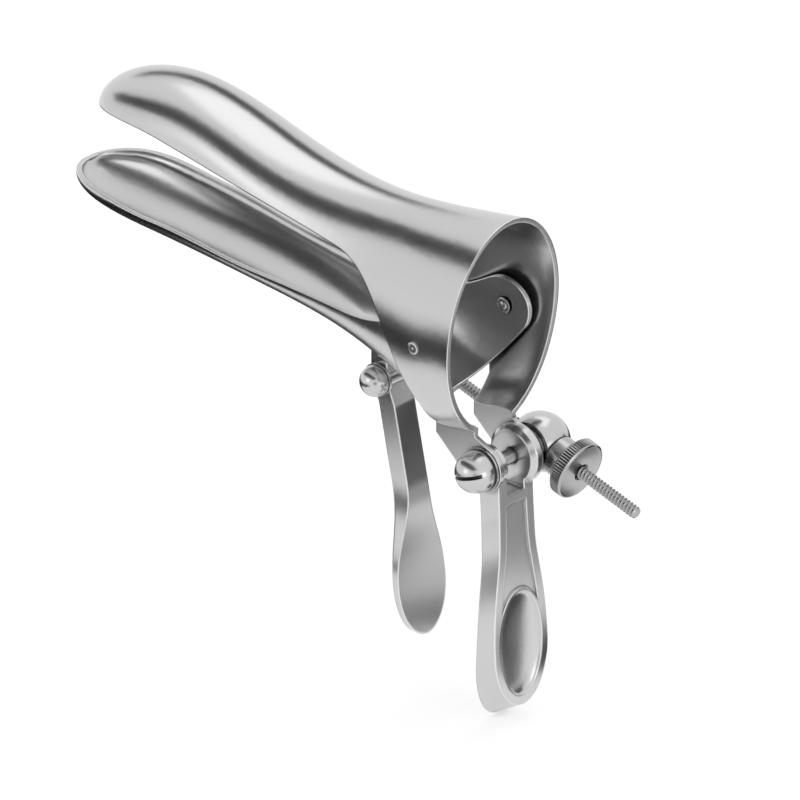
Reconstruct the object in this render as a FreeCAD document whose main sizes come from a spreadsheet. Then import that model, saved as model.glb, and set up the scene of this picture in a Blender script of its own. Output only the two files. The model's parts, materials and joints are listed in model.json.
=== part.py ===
import FreeCAD, Part
import math
import os

from FreeCAD import Placement, Rotation, Vector

# Bivalve speculum with a side adjusting screw, in millimetres.
# The origin is midway between the two pivot rivets. The blades point to -X,
# the mouth and the handles are at +X and below, and +Z is up.
# The adjusting rod runs on the +Y side.

SIZES = {
    # Pressed sheet of both blades
    "sheet": 1.25,
    # Upper blade: stations along X, each with its oval outer section
    "upper_mouth_x": 16.0,
    "upper_mouth_half_width": 21.1,
    "upper_mouth_centre_z": 1.7,
    "upper_mouth_half_height": 30.2,
    "upper_pivot_x": 0.0,
    "upper_pivot_half_width": 18.1,
    "upper_pivot_centre_z": 1.7,
    "upper_pivot_half_height": 27.9,
    "upper_waist_x": -14.0,
    "upper_waist_half_width": 15.9,
    "upper_waist_centre_z": 2.6,
    "upper_waist_half_height": 25.4,
    "upper_throat_x": -29.0,
    "upper_throat_half_width": 14.7,
    "upper_throat_centre_z": 7.1,
    "upper_throat_half_height": 20.4,
    "upper_middle_x": -56.0,
    "upper_middle_half_width": 13.9,
    "upper_middle_centre_z": 17.1,
    "upper_middle_half_height": 14.1,
    "upper_paddle_x": -87.0,
    "upper_paddle_half_width": 13.8,
    "upper_paddle_centre_z": 24.6,
    "upper_paddle_half_height": 12.9,
    "upper_tip_x": -114.2,
    "upper_tip_z": 25.0,
    # Upper blade: the edge seen from the side
    "upper_edge_tip_z": 25.4,
    "upper_edge_paddle_z": 26.4,
    "upper_edge_bulge": 1.6,
    "upper_edge_throat_z": 15.9,
    "collar_neck_x": -7.7,
    "collar_neck_z": -6.7,
    "collar_foot_x": -2.4,
    "collar_foot_z": -17.5,
    "mouth_x": 12.1,
    "mouth_tilt": 5.0,
    # Straps under the collar that hold the handle
    "strap_bend_z": -26.7,
    "strap_eye_radius": 5.9,
    # Lower blade
    "lower_mouth_x": 10.0,
    "lower_mouth_centre_z": 0.0,
    "lower_mouth_half_height": 23.4,
    "lower_pivot_x": 0.0,
    "lower_pivot_centre_z": 0.0,
    "lower_pivot_half_height": 22.6,
    "lower_waist_x": -14.0,
    "lower_waist_centre_z": 0.0,
    "lower_waist_half_height": 17.4,
    "lower_throat_x": -28.0,
    "lower_throat_centre_z": 0.0,
    "lower_throat_half_height": 11.7,
    "lower_middle_x": -56.0,
    "lower_middle_half_width": 13.0,
    "lower_middle_centre_z": 0.7,
    "lower_middle_half_height": 6.6,
    "lower_paddle_x": -88.0,
    "lower_paddle_half_width": 14.2,
    "lower_paddle_centre_z": 4.4,
    "lower_paddle_half_height": 7.1,
    "lower_tip_x": -121.2,
    "lower_tip_z": 6.4,
    "lower_edge_tip_z": 6.0,
    "lower_edge_paddle_z": 4.2,
    "lower_edge_middle_z": 0.7,
    "lower_edge_throat_z": -0.4,
    "edge_ease": 12.0,
    "edge_sag": 0.5,
    "ear_ease": 7.0,
    "heel_run": 2.2,
    "ear_radius": 7.6,
    "ear_heel_x": -5.5,
    "ear_heel_z": -19.3,
    # Rounded end of each blade, seen from above
    "tip_length": 19.0,
    # Room between the collar's inner side and the lower blade's outer side
    "mouth_room": 1.2,
    "pivot_room": 1.25,
    "waist_room": 0.25,
    "throat_room": 0.1,
    # Pivot rivets
    "rivet_radius": 1.2,
    "rivet_head_radius": 1.6,
    "rivet_head_height": 0.8,
    "rivet_sink": 0.25,
    "rivet_inner_gap": 0.2,
    "rivet_washer_radius": 2.2,
    "rivet_washer_thickness": 0.6,
    # Axle of the handle
    "axle_x": 12.36,
    "axle_z": -31.76,
    "axle_radius": 1.95,
    "axle_head_radius": 5.0,
    "axle_head_height": 6.7,
    "axle_slot_width": 1.0,
    "axle_slot_depth": 2.6,
    "axle_slot_turn": 14.4,
    "axle_washer_radius": 5.6,
    "axle_washer_thickness": 0.6,
    # Handle
    "cheek_radius": 7.5,
    "near_cheek_radius": 5.4,
    "cheek_outer_y": 6.05,
    "cheek_thickness": 3.1,
    "cheek_bevel": 1.2,
    "fork_depth": 7.4,
    "neck_depth": 10.5,
    "handle_front_x": 16.2,
    "handle_lean": 2.6,
    "shank_thickness": 6.2,
    "handle_thin_thickness": 5.7,
    "handle_thin_z": -70.0,
    "handle_heel_thickness": 8.6,
    "handle_heel_drop": 8.0,
    "handle_toe_slope": 30.0,
    "shank_half_width": 6.3,
    "shank_bottom_z": -50.0,
    "handle_pad_half_width": 9.4,
    "handle_pad_z": -79.0,
    "handle_bottom_z": -94.3,
    "bowl_half_width": 7.4,
    "bowl_half_height": 13.5,
    "bowl_z": -78.4,
    "bowl_depth": 1.9,
    "bowl_lip": 0.8,
    "panel_margin": 2.6,
    "panel_depth": 0.45,
    # Lever under the lower blade
    "pin_x": -24.1,
    "pin_z": -20.9,
    "lever_top_z": -12.0,
    "lever_half_width": 3.6,
    "lever_thickness": 5.0,
    "lever_neck_x": -21.6,
    "lever_neck_z": -27.0,
    "lever_shoulder_z": -46.0,
    "lever_shoulder_x": -17.6,
    "lever_pad_z": -72.0,
    "lever_pad_x": -14.4,
    "lever_pad_half_width": 8.3,
    "lever_pad_thickness": 1.8,
    "lever_bottom_z": -85.5,
    "lever_bottom_x": -12.6,
    # Screw that carries the rod on the lever
    "pin_radius": 1.7,
    "pin_head_radius": 3.9,
    "pin_head_height": 3.8,
    "pin_washer_radius": 4.2,
    "pin_washer_thickness": 0.6,
    "pin_nut_radius": 3.4,
    "pin_nut_thickness": 2.2,
    "pin_spacer_radius": 2.9,
    # Adjusting rod
    "rod_y": 13.3,
    "rod_radius": 1.6,
    "rod_end": 32.4,
    "rod_end_chamfer": 0.5,
    "rod_eye_radius": 3.6,
    "rod_eye_width": 3.2,
    # Swivel ball and knurled nut
    "ball_radius": 7.4,
    "ball_flat": 5.5,
    "ball_inner_y": 9.3,
    "ball_bore_depth": 1.8,
    "swivel_ring_radius": 5.2,
    "swivel_groove": 0.45,
    "nut_face": 13.8,
    "nut_radius": 7.6,
    "nut_thickness": 3.7,
    "nut_collar_radius": 5.0,
    "nut_bevel": 0.6,
    # Clearances
    "running_fit": 0.05,
    "rod_fit": 0.15,
    "face_gap": 0.05,
    "ear_gap": 0.12,
}

doc = FreeCAD.newDocument("speculum")


def fill_sheet():
    """Write every driving size into the spreadsheet under its own alias."""
    sheet = doc.addObject("Spreadsheet::Sheet", "sizes")
    for row, (alias, number) in enumerate(SIZES.items(), start=1):
        sheet.set(f"A{row}", alias)
        sheet.set(f"B{row}", str(number))
        sheet.setAlias(f"B{row}", alias)
    doc.recompute()
    return sheet


sizes = fill_sheet()


def size(alias):
    """Read one size back from the spreadsheet."""
    return float(sizes.get(alias))


ALONG_X = Vector(1, 0, 0)
ALONG_Y = Vector(0, 1, 0)
ALONG_Z = Vector(0, 0, 1)
FAR = 60.0


def side_point(x, z):
    """A point of an outline drawn in the XZ plane."""
    return Vector(x, 0, z)


def front_point(y, z):
    """A point of an outline drawn in the YZ plane."""
    return Vector(0, y, z)


def line(start, end):
    return Part.LineSegment(start, end).toShape()


def arc(start, middle, end):
    return Part.Arc(start, middle, end).toShape()


def curve(*poles):
    """A Bezier edge over its poles."""
    bezier = Part.BezierCurve()
    bezier.setPoles(list(poles))
    return bezier.toShape()


def prism(edges, direction, reach):
    """A closed outline carried by the reach to both sides of its plane."""
    face = Part.Face(Part.Wire(Part.__sortEdges__(edges)))
    face.translate(direction * -reach)
    return face.extrude(direction * (2 * reach))


def tangent_point(outside, centre, radius, side):
    """Where a line from a point outside a circle in the XZ plane touches it."""
    run = centre - outside
    distance = run.Length
    turn = side * math.asin(radius / distance)
    reach = math.sqrt(distance ** 2 - radius ** 2)
    heading = math.atan2(run.z, run.x) + turn
    return outside + side_point(math.cos(heading), math.sin(heading)) * reach


STATIONS = ("mouth", "pivot", "waist", "throat", "middle", "paddle")
TIP_TURNS = (25, 50, 70, 84)
# The stations of the lower blade that lie inside the collar, each with the collar's station beside it.
ROOT_ROOM = {"mouth": "pivot", "pivot": "pivot", "waist": "waist", "throat": "throat"}


def outer_half_width(blade, station):
    """Half the width of a blade at a station. The lower blade's root fits inside the collar."""
    if blade == "lower" and station in ROOT_ROOM:
        collar = size(f"upper_{ROOT_ROOM[station]}_half_width")
        return collar - size("sheet") - size(f"{station}_room")
    return size(f"{blade}_{station}_half_width")


def oval(x, half_width, centre_z, half_height):
    """A closed section across the channel, a smooth curve through a ring of points."""
    count = 12
    ring = []
    for step in range(count):
        turn = 2 * math.pi * step / count
        ring.append(Vector(x, half_width * math.cos(turn), centre_z + half_height * math.sin(turn)))
    edge = Part.BSplineCurve()
    even_steps = [float(step) for step in range(count + 1)]
    edge.interpolate(Points=ring, PeriodicFlag=True, Parameters=even_steps)
    return Part.Wire(edge.toShape())


def blade_body(blade, stations, inset):
    """The closed body of a blade, set in by the sheet for its inner side."""
    wires = []
    for station in stations:
        name = f"{blade}_{station}"
        wires.append(oval(
            size(f"{name}_x"),
            outer_half_width(blade, station) - inset,
            size(f"{name}_centre_z"),
            size(f"{name}_half_height") - inset,
        ))
    last = f"{blade}_{stations[-1]}"
    last_x = size(f"{last}_x")
    tip_x = size(f"{blade}_tip_x") + inset
    tip_length = size("tip_length") - inset
    # The tip is a quarter ellipse from the side and a half ellipse from above, like the end of a spoon.
    for turn in TIP_TURNS:
        share = math.sin(math.radians(turn))
        flat = math.cos(math.radians(turn))
        x = last_x + (tip_x - last_x) * share
        rounding = max(0, (tip_x + tip_length - x) / tip_length)
        wires.append(oval(
            x,
            (outer_half_width(blade, stations[-1]) - inset) * math.sqrt(1 - rounding ** 2),
            size(f"{last}_centre_z") + (size(f"{blade}_tip_z") - size(f"{last}_centre_z")) * share,
            (size(f"{last}_half_height") - inset) * flat,
        ))
    return Part.makeLoft(wires, True, False)


def mouth_point(z):
    """A point of the slanting mouth plane, seen from the side."""
    rise = z - size("upper_mouth_centre_z")
    return side_point(size("mouth_x") + rise * math.tan(math.radians(size("mouth_tilt"))), z)


AXLE = side_point(size("axle_x"), size("axle_z"))
PIN = side_point(size("pin_x"), size("pin_z"))
ROD_LINE = (AXLE - PIN).normalize()


def upper_side():
    """The upper blade's outline from the side, with collar, strap and eye."""
    tip = side_point(size("upper_tip_x") - 3, size("upper_edge_tip_z"))
    paddle = side_point(size("upper_paddle_x"), size("upper_edge_paddle_z"))
    throat = side_point(size("upper_throat_x"), size("upper_edge_throat_z"))
    neck = side_point(size("collar_neck_x"), size("collar_neck_z"))
    foot = side_point(size("collar_foot_x"), size("collar_foot_z"))
    bend = side_point(size("collar_foot_x"), size("strap_bend_z"))
    near_tip = tip + (paddle - tip) * 0.4 + side_point(0, size("upper_edge_bulge"))
    slope = (paddle - throat).normalize()
    fall = (foot - neck).normalize()
    eye = size("strap_eye_radius")
    strap_top = mouth_point(size("axle_z") + eye * 1.3)
    front = tangent_point(bend, AXLE, eye, -1)
    back = tangent_point(strap_top, AXLE, eye, 1)
    below = AXLE + ((front + back) * 0.5 - AXLE).normalize() * eye
    if below.z > AXLE.z:
        below = AXLE * 2 - below
    ceiling = FAR
    edges = [
        curve(tip, near_tip, paddle + slope * 9, paddle),
        line(paddle, throat),
        curve(throat, throat - slope * 10, neck - fall * 13, neck),
        line(neck, foot),
        line(foot, bend),
        line(bend, front),
        arc(front, below, back),
        line(back, strap_top),
        line(strap_top, mouth_point(ceiling)),
        line(mouth_point(ceiling), side_point(tip.x, ceiling)),
        line(side_point(tip.x, ceiling), tip),
    ]
    return prism(edges, ALONG_Y, FAR / 2)


def block(low, high):
    """A box between two opposite corners."""
    extent = high - low
    return Part.makeBox(extent.x, extent.y, extent.z, low)


def bore(centre, radius):
    """A cylinder right across the part, along Y."""
    return Part.makeCylinder(radius, FAR, centre - ALONG_Y * (FAR / 2), ALONG_Y)


def washer_seat():
    """How far the face of each pivot washer that looks at the lower blade lies from the middle plane."""
    return outer_half_width("lower", "pivot") + size("ear_gap")


def upper_blade():
    """Upper blade, collar and straps, pressed from one sheet and spot-faced for the pivot washers."""
    sheet = size("sheet")
    inner = blade_body("upper", STATIONS, sheet)
    outline = upper_side()
    strap_inner = size("cheek_outer_y") + size("face_gap")
    open_gap = block(Vector(-FAR, -strap_inner, -FAR), Vector(FAR, strap_inner, -sheet))
    shell = blade_body("upper", STATIONS, 0).common(outline).cut(inner).cut(open_gap)
    for near in (-1, 1):
        low_y = min(near * strap_inner, near * (strap_inner + sheet))
        strap = block(Vector(-FAR / 2, low_y, -FAR), Vector(FAR / 2, low_y + sheet, size("collar_foot_z")))
        shell = shell.fuse(strap.common(outline).cut(inner))
    shell = shell.cut(bore(Vector(0, 0, 0), size("rivet_radius")))
    shell = shell.cut(bore(AXLE, size("axle_radius") + size("running_fit")))
    facing = size("rivet_washer_radius") + size("running_fit")
    depth = size("rivet_washer_thickness") + size("running_fit")
    for outward in (ALONG_Y, ALONG_Y * -1):
        shell = shell.cut(Part.makeCylinder(facing, depth, outward * washer_seat(), outward))
    return shell


def lower_side():
    """The lower blade's outline from the side, with its ear round the pivot."""
    tip = side_point(size("lower_tip_x") - 3, size("lower_edge_tip_z"))
    paddle = side_point(size("lower_paddle_x"), size("lower_edge_paddle_z"))
    middle = side_point(size("lower_middle_x"), size("lower_edge_middle_z"))
    throat = side_point(size("lower_throat_x"), size("lower_edge_throat_z"))
    heel = side_point(size("ear_heel_x"), size("ear_heel_z"))
    centre = Vector(0, 0, 0)
    radius = size("ear_radius")
    rise = radius * 0.5
    ear_top = side_point(-rise, math.sqrt(radius ** 2 - rise ** 2))
    ear_back = tangent_point(heel, centre, radius, -1)
    ear_end = side_point(radius * math.cos(0.5), radius * math.sin(0.5))
    uphill = side_point(ear_top.z, -ear_top.x).normalize()
    floor = -FAR
    ease = size("edge_ease")
    falling = side_point(ease, -size("edge_sag"))
    lead = side_point(ease, (paddle.z - tip.z) * -1.2)
    heel_end = side_point(heel.x + size("heel_run"), floor)
    edges = [
        curve(tip, tip + lead, paddle - falling, paddle),
        curve(paddle, paddle + falling, middle - falling, middle),
        line(middle, throat),
        curve(throat, throat + falling, ear_top - uphill * size("ear_ease"), ear_top),
        arc(ear_top, ear_end, ear_back),
        line(ear_back, heel),
        line(heel, heel_end),
        line(heel_end, side_point(tip.x, floor)),
        line(side_point(tip.x, floor), tip),
    ]
    return prism(edges, ALONG_Y, FAR / 2)


def lower_blade():
    """Lower blade: a trough with two ears, pressed from one sheet and faced flat under the pivot washers."""
    inner = blade_body("lower", STATIONS, size("sheet"))
    shell = blade_body("lower", STATIONS, 0).common(lower_side()).cut(inner)
    shell = shell.cut(bore(Vector(0, 0, 0), size("rivet_radius") + size("running_fit")))
    facing = size("rivet_washer_radius") + size("running_fit")
    for outward in (ALONG_Y, ALONG_Y * -1):
        shell = shell.cut(Part.makeCylinder(facing, FAR / 2, outward * washer_seat(), outward))
    return shell


def feature(label, shape):
    """A document object for a form that no primitive gives."""
    item = doc.addObject("Part::Feature", label)
    item.Label = label
    item.Shape = shape
    item.Placement = Placement()
    return item


def part_object(kind, name, bindings, base=Vector(0, 0, 0), rotation=Rotation()):
    """A Part primitive whose sizes are bound to the spreadsheet."""
    item = doc.addObject(kind, name)
    for size_name, expression in bindings.items():
        item.setExpression(size_name, expression)
    item.Placement = Placement(base, rotation)
    return item


ACROSS = Rotation(ALONG_X, -90)
TILTED = Rotation(ALONG_Z, ROD_LINE)


def bar(name, radius, length, base, rotation=ACROSS):
    """A round bar; radius and length are expressions over the spreadsheet."""
    return part_object("Part::Cylinder", name, {"Radius": radius, "Height": length}, base, rotation)


def fused(label, *items):
    """Several objects joined into one piece."""
    item = doc.addObject("Part::MultiFuse", label)
    item.Label = label
    item.Shapes = list(items)
    return item


def cut(label, base, *tools):
    """One object with others taken out of it."""
    tool = tools[0]
    if len(tools) > 1:
        tool = fused(f"{label}_tools", *tools)
    item = doc.addObject("Part::Cut", label)
    item.Label = label
    item.Base = base
    item.Tool = tool
    return item


def dome(name, radius, height, base, outward):
    """A low domed head: the cap that a flat stock of the head's height leaves of a ball."""
    cap_radius = f"({radius} ^ 2 + {height} ^ 2) / (2 * {height})"
    rise = size_of(height)
    ball_radius = (size_of(radius) ** 2 + rise ** 2) / (2 * rise)
    centre = base + outward * (rise - ball_radius)
    turn = Rotation(ALONG_Z, outward)
    ball = part_object("Part::Sphere", f"{name}_ball", {"Radius": cap_radius}, centre, turn)
    stock = bar(f"{name}_stock", f"2 * {radius}", height, base, turn)
    item = doc.addObject("Part::Common", name)
    item.Base = stock
    item.Tool = ball
    return item


def size_of(expression):
    """The value of a plain spreadsheet name such as sizes.sheet."""
    return size(expression.split(".")[1])


def washer(label, outer, inner, thickness, base):
    """A flat ring with its axis along Y."""
    body = bar(f"{label}_body", outer, thickness, base)
    hole = bar(f"{label}_hole", inner, thickness, base)
    return cut(label, body, hole)


STRAP_FACE = size("cheek_outer_y") + size("face_gap") + size("sheet")


def pivot_rivet(label, near):
    """One pivot rivet with a formed head inside and outside."""
    outward = ALONG_Y * near
    head_seat = size("upper_pivot_half_width") - size("rivet_sink")
    inner_seat = outer_half_width("lower", "pivot") - size("sheet") - size("rivet_inner_gap")
    shank_length = "2 * sizes.sheet + sizes.pivot_room + sizes.rivet_inner_gap - sizes.rivet_sink"
    turn = Rotation(ALONG_Z, outward)
    shank = bar(f"{label}_shank", "sizes.rivet_radius", shank_length, outward * inner_seat, turn)
    outside = dome(f"{label}_outside", "sizes.rivet_head_radius", "sizes.rivet_head_height",
                   outward * head_seat, outward)
    inside = dome(f"{label}_inside", "sizes.rivet_head_radius", "sizes.rivet_head_height",
                  outward * inner_seat, outward * -1)
    return fused(label, shank, outside, inside)


def pivot_washer(label, near):
    """The spacer between the collar and the lower blade's ear."""
    seat = washer_seat()
    if near < 0:
        seat = -seat - size("rivet_washer_thickness")
    return washer(label, "sizes.rivet_washer_radius", "sizes.rivet_radius",
                  "sizes.rivet_washer_thickness", ALONG_Y * seat)


def handle_screw():
    """The slotted screw that is the handle's axle and the ball's journal."""
    head_y = -(STRAP_FACE + size("axle_washer_thickness") + 2 * size("face_gap"))
    length = (
        "sizes.ball_inner_y + sizes.ball_bore_depth - 2 * sizes.face_gap + sizes.axle_washer_thickness"
        " + 2 * sizes.face_gap + sizes.cheek_outer_y + sizes.face_gap + sizes.sheet"
    )
    seat = AXLE + ALONG_Y * head_y
    root = size("axle_head_height") / 2
    shaft = bar("handle_screw_shaft", "sizes.axle_radius", f"{length} + sizes.axle_head_height / 2",
                seat - ALONG_Y * root)
    head = dome("handle_screw_head", "sizes.axle_head_radius", "sizes.axle_head_height", seat, ALONG_Y * -1)
    slot_corner = Vector(
        -2 * size("axle_head_radius"),
        head_y - size("axle_head_height"),
        -size("axle_slot_width") / 2,
    )
    turn = Rotation(ALONG_Y, -size("axle_slot_turn"))
    slot = part_object("Part::Box", "handle_screw_slot", {
        "Length": "4 * sizes.axle_head_radius",
        "Width": "sizes.axle_slot_depth",
        "Height": "sizes.axle_slot_width",
    }, AXLE + turn.multVec(slot_corner), turn)
    return cut("handle_screw", fused("handle_screw_blank", shaft, head), slot)


def handle_screw_washer():
    seat = AXLE - ALONG_Y * (STRAP_FACE + size("face_gap") + size("axle_washer_thickness"))
    return washer("handle_screw_washer", "sizes.axle_washer_radius", "sizes.axle_radius + sizes.running_fit",
                  "sizes.axle_washer_thickness", seat)


def swivel_washer():
    """The grooved ring between the far strap and the ball."""
    seat = STRAP_FACE + size("face_gap")
    thickness = (
        "sizes.ball_inner_y - 3 * sizes.face_gap - sizes.cheek_outer_y - sizes.sheet"
    )
    ring = washer("swivel_washer_ring", "sizes.swivel_ring_radius", "sizes.axle_radius + sizes.running_fit",
                  thickness, AXLE + ALONG_Y * seat)
    middle = (seat + size("ball_inner_y") - size("swivel_groove")) / 2
    groove = washer("swivel_washer_groove", "sizes.swivel_ring_radius + sizes.swivel_groove",
                    "sizes.swivel_ring_radius - sizes.swivel_groove", "sizes.swivel_groove",
                    AXLE + ALONG_Y * middle)
    return cut("swivel_washer", ring, groove)


def swivel_ball():
    """The ball on the axle's end, with the cross hole for the rod."""
    centre = AXLE + ALONG_Y * size("rod_y")
    ball = part_object("Part::Sphere", "swivel_ball_blank", {"Radius": "sizes.ball_radius"}, centre)
    inner_face = bar("swivel_ball_face", "2 * sizes.ball_radius", "sizes.ball_inner_y",
                     AXLE)
    front = bar("swivel_ball_front", "2 * sizes.ball_radius", "sizes.ball_radius",
                centre + ROD_LINE * size("ball_flat"), TILTED)
    journal = bar("swivel_ball_journal", "sizes.axle_radius + sizes.running_fit", "sizes.ball_bore_depth",
                  AXLE + ALONG_Y * size("ball_inner_y"))
    rod_hole = bar("swivel_ball_hole", "sizes.rod_radius + sizes.rod_fit", "4 * sizes.ball_radius",
                   centre - ROD_LINE * (2 * size("ball_radius")), TILTED)
    return cut("swivel_ball", ball, inner_face, front, journal, rod_hole)


def knurled_nut():
    """The round nut with its collar, bearing on the ball's flat."""
    centre = AXLE + ALONG_Y * size("rod_y")
    start = size("ball_flat") + size("face_gap")
    collar = bar("knurled_nut_collar", "sizes.nut_collar_radius",
                 "sizes.nut_face - sizes.ball_flat - sizes.face_gap - sizes.nut_bevel",
                 centre + ROD_LINE * start, TILTED)
    disc = bar("knurled_nut_disc", "sizes.nut_radius", "sizes.nut_thickness - 2 * sizes.nut_bevel",
               centre + ROD_LINE * (size("nut_face") - size("nut_thickness") + size("nut_bevel")), TILTED)
    back = part_object("Part::Cone", "knurled_nut_back", {
        "Radius1": "sizes.nut_radius - sizes.nut_bevel",
        "Radius2": "sizes.nut_radius",
        "Height": "sizes.nut_bevel",
    }, centre + ROD_LINE * (size("nut_face") - size("nut_thickness")), TILTED)
    face = part_object("Part::Cone", "knurled_nut_face", {
        "Radius1": "sizes.nut_radius",
        "Radius2": "sizes.nut_radius - sizes.nut_bevel",
        "Height": "sizes.nut_bevel",
    }, centre + ROD_LINE * (size("nut_face") - size("nut_bevel")), TILTED)
    hole = bar("knurled_nut_hole", "sizes.rod_radius + sizes.rod_fit", "2 * sizes.nut_face",
               centre, TILTED)
    return cut("knurled_nut", fused("knurled_nut_blank", collar, disc, back, face), hole)


def adjusting_rod():
    """The rod with its eye on the lever's screw and a chamfered free end."""
    centre = PIN + ALONG_Y * size("rod_y")
    span = (AXLE - PIN).Length
    shank_length = span + size("rod_end") - size("rod_end_chamfer")
    shank = bar("adjusting_rod_shank", "sizes.rod_radius", f"{shank_length}", centre, TILTED)
    end = part_object("Part::Cone", "adjusting_rod_end", {
        "Radius1": "sizes.rod_radius",
        "Radius2": "sizes.rod_radius - sizes.rod_end_chamfer",
        "Height": "sizes.rod_end_chamfer",
    }, centre + ROD_LINE * shank_length, TILTED)
    eye_seat = PIN + ALONG_Y * (size("rod_y") - size("rod_eye_width") / 2)
    eye = bar("adjusting_rod_eye", "sizes.rod_eye_radius", "sizes.rod_eye_width", eye_seat)
    hole = bar("adjusting_rod_hole", "sizes.pin_radius + sizes.running_fit", "sizes.rod_eye_width", eye_seat)
    return cut("adjusting_rod", fused("adjusting_rod_blank", shank, end, eye), hole)


def lever_stack():
    """The dome-headed screw through the lever, with what sits on it."""
    gap = size("face_gap")
    lever_face = size("lever_half_width")
    thickness = size("pin_washer_thickness")
    hole = "sizes.pin_radius + sizes.running_fit"
    inner_washer = washer("lever_washer_inner", "sizes.pin_washer_radius", hole,
                          "sizes.pin_washer_thickness", PIN - ALONG_Y * (lever_face + gap + thickness))
    outer_washer = washer("lever_washer_outer", "sizes.pin_head_radius", hole,
                          "sizes.pin_washer_thickness", PIN - ALONG_Y * (lever_face + 2 * (gap + thickness)))
    head_seat = lever_face + 3 * gap + 2 * thickness
    far_end = size("rod_y") + size("rod_eye_width") / 2 + gap + size("pin_nut_thickness")
    shaft = bar("lever_screw_shaft", "sizes.pin_radius",
                "sizes.lever_half_width + 4 * sizes.face_gap + 2 * sizes.pin_washer_thickness"
                " + sizes.rod_y + sizes.rod_eye_width / 2 + sizes.pin_nut_thickness",
                PIN - ALONG_Y * head_seat)
    head = dome("lever_screw_head", "sizes.pin_head_radius", "sizes.pin_head_height",
                PIN - ALONG_Y * head_seat, ALONG_Y * -1)
    screw = fused("lever_screw", shaft, head)
    spacer = washer("rod_spacer", "sizes.pin_spacer_radius", hole,
                    "sizes.rod_y - sizes.rod_eye_width / 2 - sizes.lever_half_width - 2 * sizes.face_gap",
                    PIN + ALONG_Y * (lever_face + gap))
    nut = washer("lever_screw_nut", "sizes.pin_nut_radius", "sizes.pin_radius", "sizes.pin_nut_thickness",
                 PIN + ALONG_Y * (far_end - size("pin_nut_thickness")))
    return [inner_washer, outer_washer, screw, spacer, nut]


def front_x(z):
    """The handle's front face leans forward on its way down."""
    return size("handle_front_x") + (size("axle_z") - z) * math.tan(math.radians(size("handle_lean")))


def handle_side():
    """The shank's outline from the side, thickest at the heel."""
    top_z = size("axle_z")
    thin_z = size("handle_thin_z")
    low_z = size("handle_bottom_z") - size("handle_heel_drop")
    thick = size("shank_thickness")
    thin = size("handle_thin_thickness")
    heel = size("handle_heel_thickness")
    front_top = side_point(front_x(top_z), top_z)
    front_low = side_point(front_x(low_z), low_z)
    back_low = side_point(front_x(low_z) - heel, low_z)
    back_thin = side_point(front_x(thin_z) - thin, thin_z)
    back_top = side_point(front_x(top_z) - thick, top_z)
    shank = [
        line(front_top, front_low),
        line(front_low, back_low),
        curve(back_low, back_thin + (back_thin - back_top) * 0.3, back_thin),
        line(back_thin, back_top),
        line(back_top, front_top),
    ]
    return prism(shank, ALONG_Y, FAR / 4)


def cheek(near, radius):
    """One cheek of the fork: a disc with a bevel round its inner face."""
    outer_y = size("cheek_outer_y")
    inner_y = outer_y - size("cheek_thickness")
    bevel = size("cheek_bevel")
    profile = [
        (0, inner_y),
        (radius - bevel, inner_y),
        (radius, inner_y + bevel),
        (radius, outer_y),
        (0, outer_y),
    ]
    corners = [AXLE + ALONG_X * reach + ALONG_Y * (near * y) for reach, y in profile]
    section = Part.Face(Part.makePolygon(corners + corners[:1]))
    return section.revolve(AXLE, ALONG_Y, 360)


def risen(angle):
    """The direction along X, turned up by an angle in degrees."""
    return side_point(math.cos(math.radians(angle)), math.sin(math.radians(angle)))


def handle_front(margin, rise):
    """The handle's outline from the front, drawn in by a margin and carried back at a rise in degrees."""
    fork = size("cheek_outer_y") - margin
    waist = size("shank_half_width") - margin
    pad = size("handle_pad_half_width") - margin
    top_z = size("axle_z") + size("cheek_radius") * 1.2
    neck_z = size("axle_z") - size("neck_depth")
    waist_z = size("shank_bottom_z")
    pad_z = size("handle_pad_z")
    bottom_z = size("handle_bottom_z") + margin
    round_off = 0.56
    edges = []
    for near in (-1, 1):
        edges += [
            line(front_point(0, top_z), front_point(near * fork, top_z)),
            line(front_point(near * fork, top_z), front_point(near * fork, neck_z)),
            line(front_point(near * fork, neck_z), front_point(near * waist, waist_z)),
            curve(front_point(near * waist, waist_z),
                  front_point(near * (2 * waist - fork), 2 * waist_z - neck_z),
                  front_point(near * pad, pad_z + (waist_z - pad_z) * 0.5),
                  front_point(near * pad, pad_z)),
            curve(front_point(near * pad, pad_z),
                  front_point(near * pad, pad_z + (bottom_z - pad_z) * round_off),
                  front_point(near * pad * round_off, bottom_z),
                  front_point(0, bottom_z)),
        ]
    outline = prism(edges, risen(rise), FAR)
    outline.translate(ALONG_X * front_x(bottom_z))
    return outline


def front_panel():
    """The shallow recess in the handle's front face, inside the raised rims of face and bowl."""
    margin = size("panel_margin")
    outward = risen(size("handle_lean"))
    back = outward * -size("panel_depth")
    front = outward * size("shank_thickness")
    top_z = size("axle_z") - size("cheek_radius") - margin
    top = side_point(front_x(top_z), top_z)
    bottom = side_point(front_x(size("bowl_z")), size("bowl_z"))
    corners = [top + back, top + front, bottom + front, bottom + back]
    slab = Part.Face(Part.makePolygon(corners + corners[:1])).extrude(ALONG_Y * FAR)
    slab.translate(ALONG_Y * (-FAR / 2))
    ring = Part.Ellipse(
        bottom + ALONG_Z * (size("bowl_half_height") + size("bowl_lip")),
        bottom + ALONG_Y * (size("bowl_half_width") + size("bowl_lip")),
        bottom,
    )
    land = prism([ring.toShape()], outward, FAR)
    return slab.common(handle_front(margin, size("handle_lean"))).cut(land)


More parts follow.
